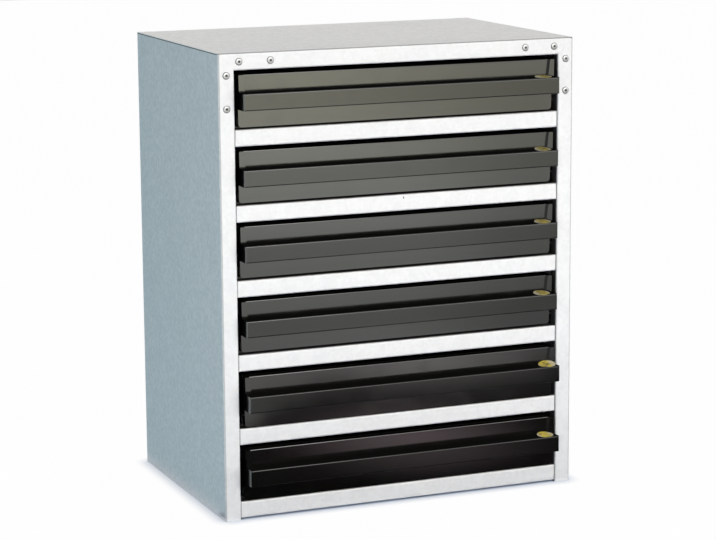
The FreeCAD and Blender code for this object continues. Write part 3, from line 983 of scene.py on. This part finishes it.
@dataclass
class Drawers:
    """The moulded drawers, each with the face of its panel and a plain colour tag on its ledge."""

    ledge_height: float = 32.1 * MILLIMETRE

    # Face of the panel, from the low front of a drawer's box
    panel_from_lip: float = 15.5 * MILLIMETRE
    panel_back: float = 21.2 * MILLIMETRE
    panel_top: float = 48.0 * MILLIMETRE
    panel_foot_reach: float = 152.95 * MILLIMETRE
    panel_top_reach: float = 154.75 * MILLIMETRE
    panel_round: float = 0.6 * MILLIMETRE
    panel_segments: int = 3

    # Tags, from the top drawer to the bottom one
    tag_width: float = 16.6 * MILLIMETRE
    tag_depth: float = 14.6 * MILLIMETRE
    tag_thickness: float = 0.3 * MILLIMETRE
    tag_from_side: float = 12.4 * MILLIMETRE
    tag_from_lip: float = 8.0 * MILLIMETRE
    tag_sides: int = 40
    tag_rings: int = 5
    lays: tuple[TagLay, ...] = (
        TagLay(0.6, -1.4 * MILLIMETRE, 3.5, 8.0),
        TagLay(0.6, -0.5 * MILLIMETRE, 7.0, 12.0),
        TagLay(0.4, -0.4 * MILLIMETRE, 5.0, 8.0),
        TagLay(0.4, -0.8 * MILLIMETRE, 5.5, 14.0),
        TagLay(0.0, 2.1 * MILLIMETRE, 11.5, -30.0),
        TagLay(0.0, 0.9 * MILLIMETRE, 6.0, 16.0),
    )

    def build(self) -> None:
        """Dress the drawers, stand a panel face on each ledge and lay a tag in front of it."""
        names = sorted(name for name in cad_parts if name.startswith("drawer_"))
        polymer = SatinPolymer().make()
        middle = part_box(names[0])[1].x - self.tag_from_side
        soils = sorted({lay.soil for lay in self.lays})
        vinyls = {soil: TagVinyl(middle, soil).make() for soil in soils}
        pattern = self.make_panel()
        for name, lay in zip(names, self.lays):
            dress(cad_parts[name], polymer)
            panel = copy_of(pattern, f"panel_face_{name}")
            panel.location = (0.0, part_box(name)[0].y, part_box(name)[0].z)
            settle(panel)
            dress(panel, polymer)
            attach(panel, name)
            tag = self.make_tag(name, lay)
            dress(tag, vinyls[lay.soil])
            tag.visible_glossy = False
            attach(tag, name)
            LOG.info("dressed %s, set %s and laid %s", name, panel.name, tag.name)
        bpy.data.objects.remove(pattern)

    def make_panel(self) -> bpy.types.Object:
        """Model the face of a panel, which stands on the ledge and reaches from pillar to pillar.

        Returns:
            The pattern that the faces are copied from, placed from the low front of a drawer's box.
        """
        select_nothing()
        bpy.ops.mesh.primitive_cube_add(size=1.0)
        panel = bpy.context.object
        panel.name = "panel_pattern"
        depth = self.panel_back - self.panel_from_lip
        height = self.panel_top - self.ledge_height
        panel.scale = (2 * self.panel_foot_reach, depth, height)
        panel.location = (0.0, self.panel_from_lip + depth / 2, self.ledge_height + height / 2)
        settle(panel)
        share = self.panel_top_reach / self.panel_foot_reach
        with editing(panel):
            pick_faces(panel, lambda _, normal: normal.z > POINTED)
            bpy.ops.transform.resize(value=(share, 1.0, 1.0), center_override=(0.0, 0.0, 0.0))
            bpy.ops.mesh.bevel(offset=self.panel_round, segments=self.panel_segments)
        return panel

    def make_tag(self, drawer: str, lay: TagLay) -> bpy.types.Object:
        """Cut an oval tag, curl its rear edge up and lay it on a drawer's ledge.

        Args:
            drawer: the drawer's node.
            lay: how the tag lies; its front edge lies flat.

        Returns:
            The tag.
        """
        lift, turn = math.radians(lay.lift), math.radians(lay.turn)
        tag = upright_disc(f"tag_{drawer}", self.tag_sides, UNIT_HALF)
        tag.scale = (self.tag_depth, 1.0, self.tag_width)
        settle(tag)
        with editing(tag):
            bpy.ops.mesh.select_all(action="SELECT")
            for _ in range(self.tag_rings):
                bpy.ops.mesh.inset(thickness=self.tag_width / 2 / (self.tag_rings + 1))
        bend = {"deform_method": "BEND", "deform_axis": "Z", "angle": -2 * lift}
        apply_modifier(tag, "SIMPLE_DEFORM", **bend)
        apply_modifier(tag, "SOLIDIFY", thickness=self.tag_thickness, offset=-1.0)
        laid = (-QUARTER_TURN, 0.0, 0.0)
        for angles in (laid, (0.0, -lift, 0.0), (0.0, 0.0, QUARTER_TURN + turn)):
            tag.rotation_euler = angles
            settle(tag)
        low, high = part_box(drawer)
        foot = min(corner.co.z for corner in tag.data.vertices)
        tag.location = (
            high.x - self.tag_from_side + lay.shift,
            low.y + self.tag_from_lip,
            low.z + self.ledge_height - foot,
        )
        settle(tag)
        bpy.ops.object.shade_smooth_by_angle(angle=SHARP)
        return tag


@dataclass(frozen=True)
class Viewpoint:
    """The camera: where it stands, how it is turned in degrees and how long its lens is."""

    azimuth: float = -22.47
    elevation: float = 10.75
    roll: float = -0.41
    place: Point = (-0.9092, -2.2028, 0.6574)
    focal_pixels: float = 2475.0
    picture_width: int = 716
    sensor: float = 36.0
    nearest: float = 0.01
    farthest: float = 100.0

    def build(self) -> None:
        """Make the camera and use it for the scene."""
        lens = bpy.data.cameras.new("camera")
        lens.sensor_width = self.sensor
        lens.lens = self.focal_pixels / self.picture_width * self.sensor
        lens.clip_start = self.nearest
        lens.clip_end = self.farthest
        camera = bpy.data.objects.new("camera", lens)
        bpy.context.scene.collection.objects.link(camera)
        turn, lift = math.radians(self.azimuth), math.radians(self.elevation)
        level = math.cos(lift)
        back = Vector((math.sin(turn) * level, -math.cos(turn) * level, math.sin(lift)))
        right = Vector((0.0, 0.0, 1.0)).cross(back).normalized()
        upward = back.cross(right)
        facing = Matrix((right, upward, back)).transposed().to_4x4()
        tilt = Matrix.Rotation(math.radians(self.roll), 4, "Z")
        camera.matrix_world = Matrix.Translation(self.place) @ facing @ tilt
        bpy.context.scene.camera = camera


@dataclass(frozen=True)
class Card:
    """A flat card of the studio that only reflections see.

    Its strength runs from one value to another along its own Y, over the span fade, and loses a
    share along its own X, over the span wane.
    """

    name: str
    middle: Point
    size: Span
    colour: Colour
    strength: Span
    turn: Point = (0.0, 0.0, 0.0)
    fade: Span = (0.0, 1.0)
    wane: Span = (0.0, 1.0)
    loss: float = 0.0

    def stand(self) -> None:
        """Stand the card in the studio."""
        select_nothing()
        bpy.ops.mesh.primitive_plane_add(size=2 * UNIT_HALF, location=self.middle)
        card = bpy.context.object
        card.name = self.name
        card.scale = (*self.size, 1.0)
        card.rotation_euler = [math.radians(angle) for angle in self.turn]
        recipe = Recipe(bpy.data.materials.new(self.name))
        inputs = {"Color": self.colour, "Strength": self.pattern(recipe)}
        recipe.finish(recipe.node("ShaderNodeEmission", {}, inputs))
        dress(card, recipe.owner)
        card.visible_camera = False
        card.visible_diffuse = False
        card.visible_shadow = False
        card.visible_transmission = False

    def pattern(self, recipe: Recipe) -> Signal:
        """The card's strength: from its low to its high end along Y, with a loss along X.

        Args:
            recipe: the recipe of the card's light.

        Returns:
            The strength.
        """
        along = (recipe.axis("Y") + UNIT_HALF).ramp(*self.fade)
        across = (recipe.axis("X") + UNIT_HALF).ramp(*self.wane)
        return along.between(*self.strength) * (1 - across * self.loss)


@dataclass(frozen=True)
class Glow(Card):
    """A card whose strength changes from its middle to its rim."""

    fade: Span = (0.0, UNIT_HALF)

    def pattern(self, recipe: Recipe) -> Signal:
        """The card's strength: from its middle to its rim.

        Args:
            recipe: the recipe of the card's light.

        Returns:
            The strength.
        """
        across, along = recipe.axis("X"), recipe.axis("Y")
        reach = (across * across + along * along).math("SQRT")
        return reach.ramp(*self.fade).between(*self.strength)


@dataclass(frozen=True)
class Lamp:
    """A soft rectangular lamp that points at the cabinet's middle."""

    name: str
    place: Point
    size: Span
    power: float
    colour: Colour
    mirrored: bool = True

    def hang(self, target: Vector) -> None:
        """Hang the lamp, turned towards a target.

        Args:
            target: the point that the lamp points at.
        """
        light = bpy.data.lights.new(self.name, "AREA")
        light.shape = "RECTANGLE"
        light.size, light.size_y = self.size
        light.energy = self.power
        light.color = self.colour
        lamp = bpy.data.objects.new(self.name, light)
        bpy.context.scene.collection.objects.link(lamp)
        lamp.location = self.place
        lamp.rotation_euler = (target - lamp.location).to_track_quat("-Z", "Y").to_euler()
        lamp.visible_camera = False
        lamp.visible_glossy = self.mirrored


# Turn, in degrees, of the floor cards that lie square to the view
CAMERA_TURN = (0.0, 0.0, 24.8)

LAMPS = (
    Lamp("key_lamp", place=(0.15, -2.5, 1.8), size=(1.8, 1.2), power=17.5,
         colour=(1.0, 0.99, 0.96)),
    Lamp("front_lamp", place=(0.05, -0.60, 0.18), size=(1.4, 0.3), power=4.0,
         colour=(1.0, 0.98, 0.93), mirrored=False),
    Lamp("top_lamp", place=(0.1, 0.5, 2.0), size=(1.0, 0.8), power=12.2,
         colour=(1.0, 0.98, 0.96), mirrored=False),
    Lamp("fill_lamp", place=(-2.0, -0.6, 1.2), size=(1.4, 1.4), power=5.8,
         colour=(0.82, 0.98, 0.97)),
)

CARDS = (
    Card("far_floor", middle=(1.514, -3.2505, 0.002), size=(5.0, 1.87), turn=CAMERA_TURN,
         colour=(1.0, 0.98, 0.76), strength=(1.90, 1.32), wane=(0.40, 0.56), loss=0.55),
    Card("unshadowed_floor", middle=(0.7257, -1.5457, 0.002), size=(5.0, 1.886), turn=CAMERA_TURN,
         colour=(0.97, 1.0, 0.94), strength=(1.28, 0.56), wane=(0.48, 0.53), loss=0.47),
    Card("mid_floor", middle=(0.4, -0.735, 0.003), size=(2.0, 0.27),
         colour=(0.98, 1.0, 0.97), strength=(0.64, 0.60), wane=(0.42, 0.53), loss=0.48),
    Card("near_flag", middle=(0.5, -0.345, 0.003), size=(2.0, 0.51),
         colour=(1.0, 0.86, 0.95), strength=(0.04, 0.0), fade=(0.0, 0.6)),
    Card("slant_floor", middle=(-0.083, -0.685, 0.004), size=(0.4, 0.36), turn=(0.0, 0.0, 39.4),
         colour=(1.0, 1.0, 0.97), strength=(0.5, 0.5)),
    Glow("warm_glow", middle=(0.095, -0.315, 0.005), size=(0.32, 0.36), turn=CAMERA_TURN,
         colour=(1.0, 0.80, 0.84), strength=(0.45, 0.01)),
    Glow("pale_glow", middle=(0.25, -0.61, 0.005), size=(0.22, 0.14),
         colour=(1.0, 0.96, 0.94), strength=(1.0, 0.55)),
    Card("front_wall", middle=(1.5, -4.3, 1.5), size=(6.0, 3.0), turn=(90.0, 0.0, 0.0),
         colour=(1.0, 1.0, 0.94), strength=(0.8, 2.2), fade=(0.1, 0.5)),
    Card("side_flag", middle=(-1.3, 1.2, 0.6), size=(3.0, 2.4), turn=(90.0, 0.0, 40.0),
         colour=(0.58, 0.92, 0.97), strength=(0.50, 0.50)),
    Card("side_floor", middle=(-1.09, 1.15, 0.002), size=(1.81, 2.7),
         colour=(0.60, 0.92, 0.98), strength=(0.55, 0.44)),
    Card("ceiling_flag", middle=(0.0, 0.1, 2.2), size=(3.0, 2.6), turn=(180.0, 0.0, 0.0),
         colour=(1.0, 1.0, 1.0), strength=(0.2, 0.2)),
)


@dataclass
class Studio:
    """Floor, world, lamps and cards."""

    floor_width: float = 12.0
    ambient: float = 0.40
    lamps: tuple[Lamp, ...] = LAMPS
    cards: tuple[Card, ...] = CARDS

    def build(self) -> None:
        """Lay the floor, set the world and place lamps and cards."""
        self.lay_floor()
        self.set_world()
        low, high = CAD_BOX
        for lamp in self.lamps:
            lamp.hang((low + high) / 2)
        for card in self.cards:
            card.stand()

    def lay_floor(self) -> None:
        """Lay the floor that the cabinet stands on."""
        select_nothing()
        bpy.ops.mesh.primitive_plane_add(size=self.floor_width, location=(0.0, 0.0, 0.0))
        floor = bpy.context.object
        floor.name = "floor"
        dress(floor, PaleFloor().make())

    def set_world(self) -> None:
        """Make the world white where it shows and dimmer where it only lights."""
        recipe = Recipe(bpy.data.worlds.new("studio"))
        bpy.context.scene.world = recipe.owner
        inputs = {"Strength": recipe.seen().between(self.ambient, 1.0)}
        recipe.finish(recipe.node("ShaderNodeBackground", {}, inputs), "ShaderNodeOutputWorld")


def main() -> None:
    """Dress the cabinet, light it and set the camera."""
    logging.basicConfig(level=logging.INFO, format="%(name)s: %(message)s")
    bpy.context.scene.view_settings.view_transform = "Standard"
    Carcass().dress()
    Rivets().build()
    Drawers().build()
    Studio().build()
    Viewpoint().build()


if __name__ == "__main__":
    main()
